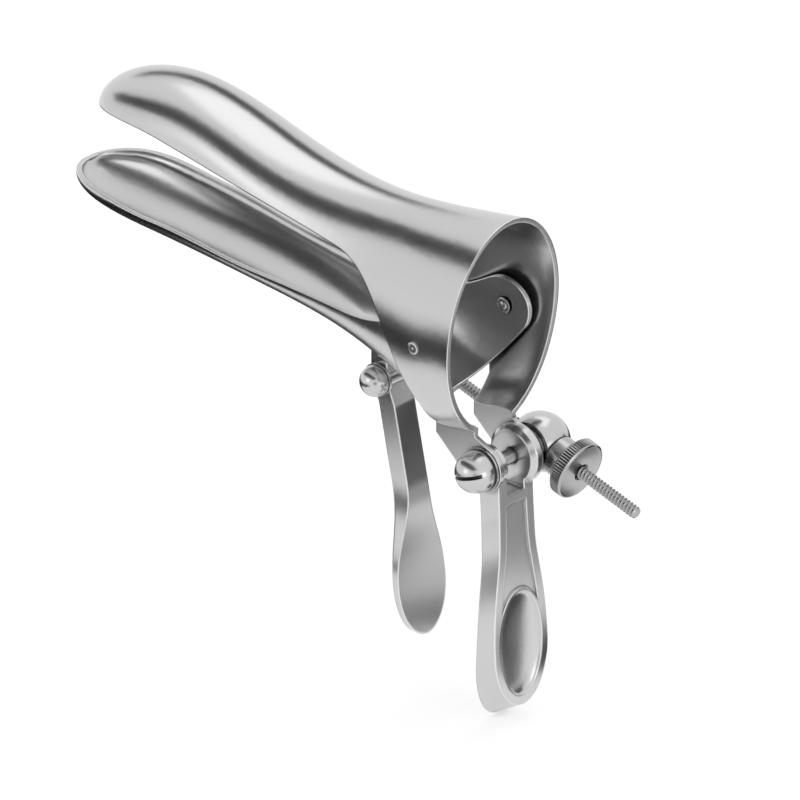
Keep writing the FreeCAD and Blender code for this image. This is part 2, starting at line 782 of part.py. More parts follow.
def handle():
    """The forked handle with its recessed front and its thumb hollow."""
    blank = handle_side().common(handle_front(0, size("handle_toe_slope")))
    gap_y = size("cheek_outer_y") - size("cheek_thickness")
    fork_floor = size("axle_z") - size("fork_depth")
    blank = blank.cut(block(Vector(-FAR, -gap_y, fork_floor), Vector(FAR, gap_y, 0)))
    blank = blank.fuse([cheek(-1, size("near_cheek_radius")), cheek(1, size("cheek_radius"))])
    blank = blank.cut(bore(AXLE, size("axle_radius") + size("running_fit")))
    return blank.cut(front_panel()).cut(bowl())


def bowl():
    """The shallow oval hollow for the thumb, centred on the handle's front face."""
    ball = Part.makeSphere(1)
    shaping = FreeCAD.Matrix()
    shaping.scale(Vector(size("bowl_depth"), size("bowl_half_width"), size("bowl_half_height")))
    dish = ball.transformGeometry(shaping)
    dish.rotate(Vector(0, 0, 0), ALONG_Y, size("handle_lean") * -1)
    dish.translate(side_point(front_x(size("bowl_z")), size("bowl_z")))
    return dish


def lever_side():
    """The lever from the side: a stout top that thins to the thumb pad."""
    half = size("lever_thickness") / 2
    thin = size("lever_pad_thickness") / 2
    top = side_point(size("pin_x"), size("lever_top_z"))
    shoulder = side_point(size("lever_shoulder_x"), size("lever_shoulder_z"))
    pad = side_point(size("lever_pad_x"), size("lever_pad_z"))
    bottom = side_point(size("lever_bottom_x"), size("lever_bottom_z"))
    neck = side_point(size("lever_neck_x"), size("lever_neck_z"))
    forward = side_point(1, 0)
    edges = [line(top - forward * half, top + forward * half)]
    for near in (-1, 1):
        edges += [
            line(top + forward * (near * half), PIN + forward * (near * half)),
            line(PIN + forward * (near * half), neck + forward * (near * half)),
            line(neck + forward * (near * half), shoulder + forward * (near * half)),
            curve(shoulder + forward * (near * half),
                  shoulder + (shoulder - neck) * 0.4 + forward * (near * half),
                  pad + (pad - bottom) * 0.9 + forward * (near * thin),
                  pad + forward * (near * thin)),
            line(pad + forward * (near * thin), bottom + forward * (near * thin)),
        ]
    edges.append(line(bottom - forward * thin, bottom + forward * thin))
    return prism(edges, ALONG_Y, FAR / 4)


def lever_front():
    """The lever from the front: a narrow neck and a broad rounded pad."""
    neck = size("lever_half_width")
    pad = size("lever_pad_half_width")
    top_z = size("lever_top_z")
    shoulder_z = size("lever_shoulder_z")
    pad_z = size("lever_pad_z")
    bottom_z = size("lever_bottom_z")
    round_off = 0.56
    edges = []
    for near in (-1, 1):
        edges += [
            line(front_point(0, top_z), front_point(near * neck, top_z)),
            line(front_point(near * neck, top_z), front_point(near * neck, shoulder_z)),
            curve(front_point(near * neck, shoulder_z),
                  front_point(near * neck, shoulder_z + (pad_z - shoulder_z) * 0.45),
                  front_point(near * pad, shoulder_z + (pad_z - shoulder_z) * 0.6),
                  front_point(near * pad, pad_z)),
            curve(front_point(near * pad, pad_z),
                  front_point(near * pad, pad_z + (bottom_z - pad_z) * round_off),
                  front_point(near * pad * round_off, bottom_z),
                  front_point(0, bottom_z)),
        ]
    return prism(edges, ALONG_X, FAR)


def thumb_lever():
    """The rear lever, shaped at its top to the underside of the lower blade."""
    boss = bore(PIN, size("lever_thickness") * 0.62)
    blank = lever_side().fuse(boss).common(lever_front())
    blank = blank.cut(blade_body("lower", STATIONS, 0))
    return blank.cut(bore(PIN, size("pin_radius") + size("running_fit")))


pieces = [
    feature("upper_blade", upper_blade()),
    feature("lower_blade", lower_blade()),
    feature("handle", handle()),
    feature("thumb_lever", thumb_lever()),
    pivot_rivet("pivot_rivet_near", -1),
    pivot_rivet("pivot_rivet_far", 1),
    pivot_washer("pivot_washer_near", -1),
    pivot_washer("pivot_washer_far", 1),
    handle_screw(),
    handle_screw_washer(),
    swivel_washer(),
    swivel_ball(),
    knurled_nut(),
    adjusting_rod(),
] + lever_stack()

doc.recompute()
os.makedirs("parts", exist_ok=True)
for item in doc.Objects:
    if "Invalid" in item.State or "Error" in item.State:
        raise RuntimeError(f"{item.Label} did not build")
for piece in pieces:
    if piece.Shape.isNull() or not piece.Shape.isValid():
        raise RuntimeError(f"{piece.Label} has no valid shape")
for piece in pieces:
    piece.Shape.exportStep(f"parts/{piece.Label}.step")
    print(piece.Label, len(piece.Shape.Solids), round(piece.Shape.Volume, 1))
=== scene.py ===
"""Looks of a duck-bill bivalve speculum in polished steel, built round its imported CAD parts."""

import json
import logging
import math
from dataclasses import dataclass, field
from enum import Enum
from typing import Callable, Protocol, Sequence

import bpy
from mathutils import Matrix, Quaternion, Vector


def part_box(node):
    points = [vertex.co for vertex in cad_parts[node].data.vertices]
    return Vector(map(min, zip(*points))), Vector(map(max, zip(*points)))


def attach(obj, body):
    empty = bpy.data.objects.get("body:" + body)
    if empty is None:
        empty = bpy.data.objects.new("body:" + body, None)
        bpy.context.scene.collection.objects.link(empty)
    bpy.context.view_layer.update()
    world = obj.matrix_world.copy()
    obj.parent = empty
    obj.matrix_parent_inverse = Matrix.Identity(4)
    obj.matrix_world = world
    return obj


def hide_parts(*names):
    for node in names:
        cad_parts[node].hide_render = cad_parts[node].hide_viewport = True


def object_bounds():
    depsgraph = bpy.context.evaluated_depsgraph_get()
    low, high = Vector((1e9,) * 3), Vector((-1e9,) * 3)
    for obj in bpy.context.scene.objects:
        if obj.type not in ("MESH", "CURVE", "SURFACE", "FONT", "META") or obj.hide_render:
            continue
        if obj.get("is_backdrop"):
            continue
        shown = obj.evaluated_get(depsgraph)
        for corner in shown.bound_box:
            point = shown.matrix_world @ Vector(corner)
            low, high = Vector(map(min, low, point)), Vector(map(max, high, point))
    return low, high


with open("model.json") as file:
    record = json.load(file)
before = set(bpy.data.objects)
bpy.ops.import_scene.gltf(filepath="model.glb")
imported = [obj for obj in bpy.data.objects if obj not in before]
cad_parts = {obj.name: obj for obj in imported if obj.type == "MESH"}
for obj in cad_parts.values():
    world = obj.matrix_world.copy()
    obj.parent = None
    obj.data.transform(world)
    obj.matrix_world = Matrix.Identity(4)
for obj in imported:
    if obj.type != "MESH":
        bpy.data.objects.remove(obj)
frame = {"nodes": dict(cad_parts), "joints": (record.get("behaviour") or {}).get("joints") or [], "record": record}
log = logging.getLogger("speculum")

MM = 0.001
WHITE = (1.0, 1.0, 1.0, 1.0)

# An edge between two faces that meet at more than this angle stays crisp.
CRISP_DEGREES = 40.0

# A rounded edge is drawn with one middle point, this share of its size inside the corner.
EDGE_MIDDLE = 0.3

Colour = tuple[float, float, float]
Outline = list[tuple[float, float]]
RadiusRule = Callable[[float, float, float], float]


class Grain(Enum):
    """The way the polishing marks run on a piece, as marks per metre along X, Y and Z."""

    ALONG_BLADE = (120.0, 1800.0, 1800.0)
    DOWN_HANDLE = (1800.0, 1800.0, 120.0)
    TURNED = (1600.0, 1600.0, 1600.0)


@dataclass(frozen=True)
class Finish:
    """How one kind of steel surface looks.

    Attributes:
        label: Name of the material.
        colour: Linear reflectance of the metal.
        roughness: Mean roughness.
        spread: Change of roughness between the clearest and the dullest patches.
        scratch: Height of the polishing marks, in metres.
        edge: Radius over which edges look rounded, in metres.
        grain: The way the marks run.
        painted_shade: How far colour falls in corners, as painted shade, from 0 to 1.
    """

    label: str
    colour: Colour
    roughness: float
    spread: float
    scratch: float
    edge: float
    grain: Grain
    painted_shade: float


BLADE = Finish(
    label="blade_steel",
    colour=(0.58, 0.58, 0.585),
    roughness=0.24,
    spread=0.035,
    scratch=1.2e-6,
    edge=0.45 * MM,
    grain=Grain.ALONG_BLADE,
    painted_shade=0.75,
)
HANDLE = Finish(
    label="handle_steel",
    colour=(0.62, 0.62, 0.625),
    roughness=0.24,
    spread=0.04,
    scratch=1.2e-6,
    edge=0.7 * MM,
    grain=Grain.DOWN_HANDLE,
    painted_shade=0.85,
)
SCREW = Finish(
    label="screw_steel",
    colour=(0.58, 0.58, 0.585),
    roughness=0.24,
    spread=0.04,
    scratch=1.0e-6,
    edge=0.15 * MM,
    grain=Grain.TURNED,
    painted_shade=0.92,
)
FITTING = Finish(
    label="fitting_steel",
    colour=(0.56, 0.56, 0.565),
    roughness=0.22,
    spread=0.04,
    scratch=1.0e-6,
    edge=0.25 * MM,
    grain=Grain.TURNED,
    painted_shade=0.88,
)
KNURL = Finish(
    label="knurled_steel",
    colour=(0.44, 0.44, 0.445),
    roughness=0.26,
    spread=0.05,
    scratch=1.5e-6,
    edge=0.12 * MM,
    grain=Grain.TURNED,
    painted_shade=0.92,
)
ROD = Finish(
    label="rod_steel",
    colour=(0.46, 0.46, 0.465),
    roughness=0.28,
    spread=0.06,
    scratch=1.5e-6,
    edge=0.05 * MM,
    grain=Grain.TURNED,
    painted_shade=0.96,
)
FINISHES = (BLADE, HANDLE, SCREW, FITTING, KNURL, ROD)


class NodeGraph:
    """Small helper that adds and joins shader nodes."""

    def __init__(self, tree: bpy.types.NodeTree) -> None:
        """Start an empty graph.

        Args:
            tree: The node tree of a material or world.
        """
        self.tree = tree
        self.tree.nodes.clear()

    def add(self, kind: str, inputs: dict[str | int, object] | None = None,
            **settings: object) -> bpy.types.Node:
        """Add one node.

        Args:
            kind: Blender's name of the node type.
            inputs: Names or numbers of input sockets, each with a constant or a socket to join.
            **settings: Properties of the node.

        Returns:
            The new node.
        """
        node = self.tree.nodes.new(kind)
        for key, value in settings.items():
            setattr(node, key, value)
        for key, value in (inputs or {}).items():
            if isinstance(value, bpy.types.NodeSocket):
                self.tree.links.new(value, node.inputs[key])
            else:
                node.inputs[key].default_value = value
        return node

    def fit(self, source: bpy.types.NodeSocket, reach: tuple[float, float],
            result: tuple[float, float]) -> bpy.types.NodeSocket:
        """Carry a value from one range to another.

        Args:
            source: The value's socket.
            reach: Start and end of its range.
            result: What it becomes at the start and at the end.

        Returns:
            The socket of the result.
        """
        node = self.add("ShaderNodeMapRange", {
            "Value": source,
            "From Min": reach[0],
            "From Max": reach[1],
            "To Min": result[0],
            "To Max": result[1],
        })
        return node.outputs["Result"]


class SteelMaterial:
    """Procedural polished steel with fine marks, dull patches, edges smoothed by wear with a painted highlight,
    and painted shade in the corners.
    """

    # Painted highlight: the near-white colour that rounded edges take.
    PAINTED_HIGHLIGHT_COLOUR = (0.92, 0.92, 0.925)
    # Painted shade: the near-black colour that corners fall to.
    PAINTED_SHADE_COLOUR = (0.015, 0.015, 0.016)

    # Rays of each look at the surface round a point.
    SAMPLES = 8

    # Where a noise is clearest and where it is dullest.
    NOISE_REACH = (0.2, 0.8)

    # How well the rounded edge's normal agrees with the face's own: where an edge takes wear and a painted
    # highlight, and where not.
    WEAR_AND_HIGHLIGHT_REACH = (0.75, 0.95)

    # Change of roughness where an edge is worn.
    WORN_SHINE = -0.05

    # How open a point is: in full painted shade, and free of it.
    CORNER_REACH = (0.35, 0.95)
    CORNER_DISTANCE = 1.6 * MM

    PATCHES_PER_METRE = 60.0
    MARK_STRENGTH = 0.5

    # Numbers of the colour sockets on Blender's Mix node.
    MIX_FACTOR = 0
    MIX_FIRST = 6
    MIX_SECOND = 7
    MIX_RESULT = 2

    def __init__(self, finish: Finish) -> None:
        """Build the material.

        Args:
            finish: The look of the surface.
        """
        self.finish = finish
        self.material = bpy.data.materials.new(finish.label)
        self.material.use_nodes = True
        self.material.diffuse_color = (*finish.colour, 1.0)
        self._build(NodeGraph(self.material.node_tree))

    def _build(self, graph: NodeGraph) -> None:
        """Lay out the nodes.

        Args:
            graph: The material's empty graph.
        """
        place = graph.add("ShaderNodeTexCoord").outputs["Object"]
        marks = self._marks(graph, place)
        bevel = graph.add("ShaderNodeBevel", {"Radius": self.finish.edge}, samples=self.SAMPLES)
        rounded = bevel.outputs["Normal"]
        wear_and_highlight = self._edge_wear_and_highlight(graph, rounded)
        lift = graph.add("ShaderNodeBump", {
            "Height": marks,
            "Normal": rounded,
            "Strength": self.MARK_STRENGTH,
            "Distance": self.finish.scratch,
        })
        steel = graph.add("ShaderNodeBsdfPrincipled", {
            "Base Color": self._colour(graph, wear_and_highlight),
            "Metallic": 1.0,
            "Roughness": self._roughness(graph, place, marks, wear_and_highlight),
            "Normal": lift.outputs["Normal"],
        })
        graph.add("ShaderNodeOutputMaterial", {"Surface": steel.outputs["BSDF"]})

    def _marks(self, graph: NodeGraph, place: bpy.types.NodeSocket) -> bpy.types.NodeSocket:
        """Draw the polishing marks.

        Args:
            graph: The material's graph.
            place: The place on the surface.

        Returns:
            The socket of the marks' height.
        """
        stretched = graph.add("ShaderNodeMapping", {"Vector": place, "Scale": self.finish.grain.value})
        noise = graph.add("ShaderNodeTexNoise", {
            "Vector": stretched.outputs["Vector"],
            "Scale": 1.0,
            "Detail": 4.0,
            "Roughness": 0.6,
        })
        return noise.outputs["Fac"]

    def _edge_wear_and_highlight(self, graph: NodeGraph, rounded: bpy.types.NodeSocket) -> bpy.types.NodeSocket:
        """Find the edges, where the rounded normal leans away from the face.

        Args:
            graph: The material's graph.
            rounded: The normal of the rounded edges.

        Returns:
            A socket that is 1 on a rounded edge and 0 elsewhere, used for wear and for a painted highlight.
        """
        flat = graph.add("ShaderNodeNewGeometry").outputs["Normal"]
        lean = graph.add("ShaderNodeVectorMath", {0: rounded, 1: flat}, operation="DOT_PRODUCT")
        return graph.fit(lean.outputs["Value"], self.WEAR_AND_HIGHLIGHT_REACH, (1.0, 0.0))

    def _roughness(self, graph: NodeGraph, place: bpy.types.NodeSocket, marks: bpy.types.NodeSocket,
                   wear_and_highlight: bpy.types.NodeSocket) -> bpy.types.NodeSocket:
        """Spread dull patches and fine marks over the steel, and shine its worn edges.

        Args:
            graph: The material's graph.
            place: The place on the surface.
            marks: The marks' height.
            wear_and_highlight: The share of wear on an edge.

        Returns:
            The socket of the roughness.
        """
        mean = self.finish.roughness
        half = self.finish.spread / 2
        patches = graph.add("ShaderNodeTexNoise", {
            "Vector": place,
            "Scale": self.PATCHES_PER_METRE,
            "Detail": 1.0,
            "Roughness": 0.4,
        })
        dull = graph.fit(patches.outputs["Fac"], self.NOISE_REACH, (mean - half, mean + half))
        fine = graph.fit(marks, self.NOISE_REACH, (-half, half))
        rough = graph.add("ShaderNodeMath", {0: dull, 1: fine}, operation="ADD")
        shone = graph.add(
            "ShaderNodeMath",
            {0: wear_and_highlight, 1: self.WORN_SHINE, 2: rough.outputs["Value"]},
            operation="MULTIPLY_ADD",
            use_clamp=True,
        )
        return shone.outputs["Value"]

    def _colour(self, graph: NodeGraph, wear_and_highlight: bpy.types.NodeSocket) -> bpy.types.NodeSocket:
        """Paint a highlight on the rounded edges and paint shade into the corners.

        Args:
            graph: The material's graph.
            wear_and_highlight: How much of the painted edge highlight shows.

        Returns:
            The socket of the colour.
        """
        # Painted shade: colour falls towards near black where ambient occlusion finds a corner, a recess or a part
        # close by.
        corner = graph.add("ShaderNodeAmbientOcclusion", {"Distance": self.CORNER_DISTANCE},
                           samples=self.SAMPLES)
        unshaded = graph.fit(corner.outputs["AO"], self.CORNER_REACH, (1.0 - self.finish.painted_shade, 1.0))
        # Painted highlight: rounded edges lighten towards a near-white colour.
        metal = self._mix(graph, wear_and_highlight, (*self.finish.colour, 1.0), (*self.PAINTED_HIGHLIGHT_COLOUR, 1.0))
        return self._mix(graph, unshaded, (*self.PAINTED_SHADE_COLOUR, 1.0), metal)

    def _mix(self, graph: NodeGraph, factor: bpy.types.NodeSocket, first: object,
             second: object) -> bpy.types.NodeSocket:
        """Mix two colours.

        Args:
            graph: The material's graph.
            factor: How much of the second colour shows.
            first: A colour or a colour's socket.
            second: A colour or a colour's socket.

        Returns:
            The socket of the mixed colour.
        """
        inputs = {self.MIX_FACTOR: factor, self.MIX_FIRST: first, self.MIX_SECOND: second}
        return graph.add("ShaderNodeMix", inputs, data_type="RGBA").outputs[self.MIX_RESULT]


def seen_or_mirrored(graph: NodeGraph) -> bpy.types.NodeSocket:
    """Tell the rays that show a background from those that only light.

    Args:
        graph: The graph of a world or a stage material.

    Returns:
        A socket that is 1 for camera, glossy and transmission rays.
    """
    rays = graph.add("ShaderNodeLightPath")
    seen = rays.outputs["Is Camera Ray"]
    for other in ("Is Glossy Ray", "Is Transmission Ray"):
        either = graph.add("ShaderNodeMath", {0: seen, 1: rays.outputs[other]}, operation="MAXIMUM")
        seen = either.outputs["Value"]
    return seen


def clamp(value: float) -> float:
    """Keep a number between 0 and 1."""
    return min(1.0, max(0.0, value))


@dataclass
class Axis:
    """A line through a point that round pieces are turned about.

    Attributes:
        base: A point on the line.
        along: Its direction, of length one.
        across: A direction square to the line, where turns start.
        third: The direction square to both.
    """

    base: Vector
    along: Vector
    across: Vector = field(init=False)
    third: Vector = field(init=False)

    def __post_init__(self) -> None:
        """Find the two directions across the line."""
        turn: Quaternion = self.along.to_track_quat("Z", "Y")
        self.across = turn @ Vector((1, 0, 0))
        self.third = turn @ Vector((0, 1, 0))

    def point(self, along: float, radius: float, turn: float) -> Vector:
        """Place a point round the line.

        Args:
            along: Distance from the base.
            radius: Distance from the line.
            turn: Angle in radians.

        Returns:
            The point in the part's frame.
        """
        outward = self.across * math.cos(turn) + self.third * math.sin(turn)
        return self.base + self.along * along + outward * radius


def same_radius(along: float, radius: float, turn: float) -> float:
    """A round piece with no pattern.

    Args:
        along: Distance along the axis; not used.
        radius: Radius of the profile.
        turn: Angle in radians; not used.

    Returns:
        The radius, as it is.
    """
    return radius


def mesh_piece(name: str, points: Sequence[Vector], faces: Sequence[Sequence[int]]) -> bpy.types.Object:
    """Make a mesh object in the part's frame.

    Args:
        name: Name of the piece.
        points: Its vertices.
        faces: Vertex numbers of each face.

    Returns:
        The new object.
    """
    mesh = bpy.data.meshes.new(name)
    mesh.from_pydata([tuple(point) for point in points], [], [list(face) for face in faces])
    mesh.validate()
    mesh.shade_smooth()
    mesh.set_sharp_from_angle(angle=math.radians(CRISP_DEGREES))
    piece = bpy.data.objects.new(name, mesh)
    bpy.context.scene.collection.objects.link(piece)
    return piece


def flat_sheet(name: str, place: Vector, turn: Quaternion, half: tuple[float, float]) -> bpy.types.Object:
    """Make a flat four-cornered sheet.

    Args:
        name: Name of the sheet.
        place: Its centre, in metres.
        turn: Its turn, with the sheet in its own XY plane.
        half: Half its size along its own X and Y, in metres.

    Returns:
        The new object.
    """
    corners = [
        place + turn @ Vector((half[0] * a, half[1] * b, 0.0))
        for a, b in ((-1, -1), (1, -1), (1, 1), (-1, 1))
    ]
    return mesh_piece(name, corners, [(0, 1, 2, 3)])


def lathe(name: str, axis: Axis, profile: Outline, steps: int, closed: bool,
          shape: RadiusRule = same_radius) -> bpy.types.Object:
    """Turn a profile about an axis.

    Args:
        name: Name of the piece.
        axis: The line it turns about.
        profile: Pairs of distance along the axis and radius.
        steps: Faces round the piece.
        closed: True for a ring, whose profile joins its own start.
        shape: Gives the radius at a place and angle, for teeth or threads.

    Returns:
        The new object, with end caps where the profile is open.
    """
    points = []
    for along, radius in profile:
        for step in range(steps):
            turn = 2 * math.pi * step / steps
            points.append(axis.point(along, shape(along, radius, turn), turn))
    faces = []
    rows = len(profile)
    for row in range(rows if closed else rows - 1):
        here = row * steps
        after = (row + 1) % rows * steps
        for step in range(steps):
            beside = (step + 1) % steps
            faces.append((here + step, here + beside, after + beside, after + step))
    if not closed:
        for row, turned in ((0, True), (rows - 1, False)):
            ring = [row * steps + step for step in range(steps)]
            middle = len(points)
            points.append(axis.base + axis.along * profile[row][0])
            for step in range(steps):
                pair = (ring[step], ring[(step + 1) % steps])
                faces.append((*(reversed(pair) if turned else pair), middle))
    return mesh_piece(name, points, faces)


def finish_piece(piece: bpy.types.Object, material: bpy.types.Material, body: str) -> None:
    """Give a new piece its material and body.

    Args:
        piece: The object.
        material: Its material.
        body: The CAD body it moves with.
    """
    piece.data.materials.append(material)
    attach(piece, body)


def joint_place(name: str) -> Vector:
    """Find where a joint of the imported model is.

    Args:
        name: The joint's name.

    Returns:
        Its position in metres.
    """
    for joint in frame["joints"]:
        if joint["name"] == name:
            return Vector(joint["pos_m"])
    raise KeyError(name)


class Assembly(Protocol):
    """Anything that the main function builds."""

    def build(self) -> list[bpy.types.Object]:
        """Make the pieces and hand them back."""


@dataclass
class Steelwork:
    """The CAD nodes, each with its steel.

    Attributes:
        materials: Built materials by slot name.
    """

    materials: dict[str, bpy.types.Material]

    def build(self) -> list[bpy.types.Object]:
        """Give every CAD node the material of its slot.

        Returns:
            The nodes.
        """
        nodes = []
        for part in frame["record"]["subparts"]:
            node = frame["nodes"][part["node"]]
            node.data.materials.clear()
            node.data.materials.append(self.materials[part["material_slot"]])
            nodes.append(node)
        return nodes


@dataclass
class AdjustingRod:
    """The threaded rod with the eye that hangs on the lever's screw.

    Attributes:
        material: Its steel.
        pitch: Distance between the thread's crests, in metres.
        thread_depth: Depth of the thread, in metres.
        crest: Width of the thread's flat top, as a share of the pitch.
        flank: Width of its two flanks together, as a share of the pitch.
        plain_length: Distance from the eye's centre to the thread, in metres.
        radius: Radius of the rod, in metres.
        start: Distance from the eye's centre to the shank's hidden end, in metres.
        chamfer: Chamfer of the free end, in metres.
        rows_per_turn: Rings of faces in one pitch.
        steps: Faces round the shank.
        hole_radius: Radius of the hole in the eye, in metres.
        eye_edge: Rounding of the eye's edges, in metres.
        eye_steps: Faces round the eye.
        length: Distance from the eye's centre to the free end, in metres.
        axis: The rod's own line, from the eye's centre.
    """

    material: bpy.types.Material
    pitch: float = 1.0 * MM
    thread_depth: float = 0.42 * MM
    crest: float = 0.12
    flank: float = 0.7
    plain_length: float = 9.0 * MM
    radius: float = 1.6 * MM
    start: float = 2.2 * MM
    chamfer: float = 0.5 * MM
    rows_per_turn: int = 8
    steps: int = 28
    hole_radius: float = 1.75 * MM
    eye_edge: float = 0.35 * MM
    eye_steps: int = 72
    length: float = field(init=False)
    axis: Axis = field(init=False)

    def build(self) -> list[bpy.types.Object]:
        """Make the shank and the eye in place of the CAD rod.

        Returns:
            The shank and the eye.
        """
        low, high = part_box("adjusting_rod")
        pin = joint_place("rod_swing")
        along = (joint_place("ball_swivel") - pin).normalized()
        eye_radius = pin.x - low.x
        self.axis = Axis(pin, along)
        # The free end is a disc square to the rod, and its edge is the part's furthest point along X.
        disc_radius = self.radius - self.chamfer
        self.length = (high.x - pin.x - disc_radius * abs(along.z)) / along.x
        shank = self._shank()
        eye = self._eye(pin, high.y - low.y, eye_radius)
        for piece in (shank, eye):
            finish_piece(piece, self.material, "adjusting_rod")
        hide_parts("adjusting_rod")
        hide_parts("adjusting_rod")
        return [shank, eye]

    def _shank(self) -> bpy.types.Object:
        """Turn the shank with its helical thread.

        Returns:
            The new object.
        """
        run = self.length - self.start
        count = int(run / (self.pitch / self.rows_per_turn))
        profile = [(self.start + run * row / count, self.radius) for row in range(count + 1)]
        return lathe("rod_shank", self.axis, profile, self.steps, False, self._thread)

    def _thread(self, along: float, radius: float, turn: float) -> float:
        """Radius of the thread at a place on the shank.

        Args:
            along: Distance from the eye's centre.
            radius: Radius over the crests.
            turn: Angle in radians.

        Returns:
            The local radius.
        """
        place = (along / self.pitch - turn / (2 * math.pi)) % 1.0
        depth = clamp((abs(2 * place - 1) - self.crest) / self.flank)
        run_in = clamp((along - self.plain_length) / self.pitch)
        cut_back = max(0.0, along - (self.length - self.chamfer))
        return min(radius - self.thread_depth * depth * run_in, radius - cut_back)

    def _eye(self, centre: Vector, width: float, radius: float) -> bpy.types.Object:
        """Turn the eye, a stout ring.

        Args:
            centre: The lever screw's axis at the rod.
            width: Width of the ring.
            radius: Outer radius.

        Returns:
            The new object.
        """
        half = width / 2
        edge = self.eye_edge
        middle = edge * EDGE_MIDDLE
        profile = [
            (-half, self.hole_radius),
            (-half, radius - edge),
            (-half + middle, radius - middle),
            (-half + edge, radius),
            (half - edge, radius),
            (half - middle, radius - middle),
            (half, radius - edge),
            (half, self.hole_radius),
        ]
        return lathe("rod_eye", Axis(centre, Vector((0, 1, 0))), profile, self.eye_steps, True)


@dataclass
class KnurledNut:
    """The round adjusting nut with its collar and a straight knurl on the rim.

    Distances along the nut are measured from the ball's centre.

    Attributes:
        material: Its steel.
        teeth: Number of ridges round the rim.
        tooth_depth: Depth of the knurl, in metres.
        tooth_slope: How many times its own depth a ridge would fall over half its width.
        tooth_land: How much of that fall its flat top takes away.
        steps_per_tooth: Faces round one ridge.
        start: Where the collar starts, in metres.
        face: Where the outer face lies, in metres.
        rim_radius: Radius of the rim, in metres.
        rim_width: Width of the rim, in metres.
        smooth_radius: Radius of the rim's bare edges, in metres, just inside the ridges.
        collar_radius: Radius of the collar, in metres.
        collar_edge: Chamfer of the collar, in metres.
        hole_radius: Radius of the hole, in metres.
        fillet: Chamfer of the hole and the slope between collar and rim, in metres.
        bevel: Bevel of the rim, in metres.
    """

    # Where the ridges start behind the bevel, as a share of the bevel.
    RIDGE_START = 1.2

    # The crown of the outer face: distance behind the face and depth under the rim, as shares of the bevel.
    CROWN = ((0.3, 0.6), (0.0, 1.5))

    material: bpy.types.Material
    teeth: int = 66
    tooth_depth: float = 0.4 * MM
    tooth_slope: float = 1.6
    tooth_land: float = 0.3
    steps_per_tooth: int = 6
    start: float = 5.55 * MM
    face: float = 13.8 * MM
    rim_radius: float = 7.6 * MM
    rim_width: float = 3.7 * MM
    smooth_radius: float = 7.58 * MM
    collar_radius: float = 5.0 * MM
    collar_edge: float = 0.3 * MM
    hole_radius: float = 1.75 * MM
    fillet: float = 0.5 * MM
    bevel: float = 0.55 * MM

    def build(self) -> list[bpy.types.Object]:
        """Make the nut in place of the CAD nut.

        Returns:
            The nut.
        """
        centre = joint_place("ball_swivel")
        along = (centre - joint_place("rod_swing")).normalized()
        steps = self.teeth * self.steps_per_tooth
        nut = lathe("nut_knurled", Axis(centre, along), self._profile(), steps, True, self._tooth)
        finish_piece(nut, self.material, "nut")
        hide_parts("knurled_nut")
        return [nut]

    def _profile(self) -> Outline:
        """Outline of the nut, from the hole at its collar round to the hole at its face.

        Returns:
            Pairs of distance and radius.
        """
        back = self.face - self.rim_width
        rim = self.rim_radius
        ridge = self.bevel * self.RIDGE_START
        crown = [(self.face - self.bevel * behind, rim - self.bevel * under) for behind, under in self.CROWN]
        return [
            (self.start, self.hole_radius),
            (self.start, self.collar_radius - self.collar_edge),
            (self.start + self.collar_edge, self.collar_radius),
            (back - self.fillet, self.collar_radius),
            (back, self.collar_radius + self.fillet),
            (back, rim - self.bevel),
            (back + self.bevel, self.smooth_radius),
            (back + ridge, rim),
            (self.face - ridge, rim),
            (self.face - self.bevel, self.smooth_radius),
            *crown,
            (self.face, self.hole_radius + self.fillet),
            (self.face - self.fillet, self.hole_radius),
        ]

    def _tooth(self, along: float, radius: float, turn: float) -> float:
        """Radius of the rim with its ridges.

        Args:
            along: Distance from the ball's centre; not used.
            radius: Radius of the profile.
            turn: Angle in radians.

        Returns:
            The local radius.
        """
        if radius < self.rim_radius:
            return radius
        wave = (turn * self.teeth / (2 * math.pi)) % 1.0
        return radius - self.tooth_depth * clamp(abs(2 * wave - 1) * self.tooth_slope - self.tooth_land)


